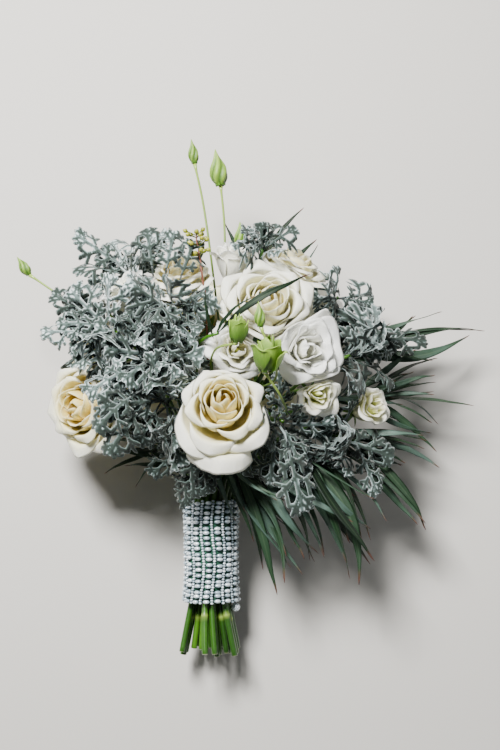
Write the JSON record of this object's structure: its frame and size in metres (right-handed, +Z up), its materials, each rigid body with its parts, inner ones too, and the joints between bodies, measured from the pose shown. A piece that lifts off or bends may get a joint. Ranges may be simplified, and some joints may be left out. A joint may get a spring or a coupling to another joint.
{
  "type": "bridal bouquet",
  "caption": "Hand-tied bridal bouquet of ivory roses, white lisianthus, silver lobed leaves and willow eucalyptus, bound with tape under a pearl net and laid on its back.",
  "frame": {"origin": "on the surface that the bouquet lies on, under the middle of its box", "axes": "+Z up from the surface; +Y along the bouquet from its cut ends to its flowers; +X to the bouquet's right, seen from its front"},
  "size_m": [0.4214, 0.4544, 0.2081],
  "materials": {
    "rose_petals": "soft matt petals, warmer towards the middle",
    "lisianthus_petals": "soft matt petals, green-yellow in the throat",
    "flower_stems": "smooth fresh green stems, sepals and buds",
    "silver_leaves": "felted silver grey",
    "eucalyptus_leaves": "satin blue-green leaves on round stems",
    "seeded_spray": "smooth olive-yellow seeds",
    "tape": "dark green floral tape",
    "pearls": "pearl lustre"
  },
  "bodies": {
    "root": {"binding_tape": "tape", "pearl_net": "pearls", "ball_headed_pin": "pearls", "rose_front_petals": "rose_petals", "rose_left_petals": "rose_petals", "rose_right_petals": "rose_petals", "rose_top_right_petals": "rose_petals", "rose_top_petals": "rose_petals", "rose_left_back_petals": "rose_petals", "rose_back_left_petals": "rose_petals", "rose_back_right_petals": "rose_petals", "rose_back_top_petals": "rose_petals", "lisianthus_right_petals": "lisianthus_petals", "lisianthus_middle_petals": "lisianthus_petals", "lisianthus_top_left_petals": "lisianthus_petals", "lisianthus_top_petals": "lisianthus_petals", "lisianthus_small_petals": "lisianthus_petals", "lisianthus_side_petals": "lisianthus_petals", "lisianthus_back_petals": "lisianthus_petals", "rose_front_stem": "flower_stems", "rose_left_stem": "flower_stems", "rose_right_stem": "flower_stems", "rose_top_right_stem": "flower_stems", "rose_top_stem": "flower_stems", "rose_left_back_stem": "flower_stems", "rose_back_left_stem": "flower_stems", "rose_back_right_stem": "flower_stems", "rose_back_top_stem": "flower_stems", "lisianthus_right_stem": "flower_stems", "lisianthus_middle_stem": "flower_stems", "lisianthus_top_left_stem": "flower_stems", "lisianthus_top_stem": "flower_stems", "lisianthus_small_stem": "flower_stems", "lisianthus_side_stem": "flower_stems", "lisianthus_back_stem": "flower_stems", "silver_leaves_middle": "silver_leaves", "silver_leaves_left": "silver_leaves", "silver_leaves_upper": "silver_leaves", "silver_leaves_front": "silver_leaves", "silver_leaves_top_left": "silver_leaves", "silver_leaves_lower": "silver_leaves", "silver_leaves_top": "silver_leaves", "silver_leaves_top_right": "silver_leaves", "silver_leaves_right": "silver_leaves", "silver_leaves_lower_right": "silver_leaves", "silver_leaves_low_side": "silver_leaves", "silver_leaves_back_left": "silver_leaves", "eucalyptus_low": "eucalyptus_leaves", "eucalyptus_low_right": "eucalyptus_leaves", "eucalyptus_right": "eucalyptus_leaves", "eucalyptus_side": "eucalyptus_leaves", "eucalyptus_upper_right": "eucalyptus_leaves", "eucalyptus_middle": "eucalyptus_leaves", "eucalyptus_top": "eucalyptus_leaves", "eucalyptus_left": "eucalyptus_leaves", "seeded_eucalyptus": "seeded_spray"}
  },
  "joints": []
}
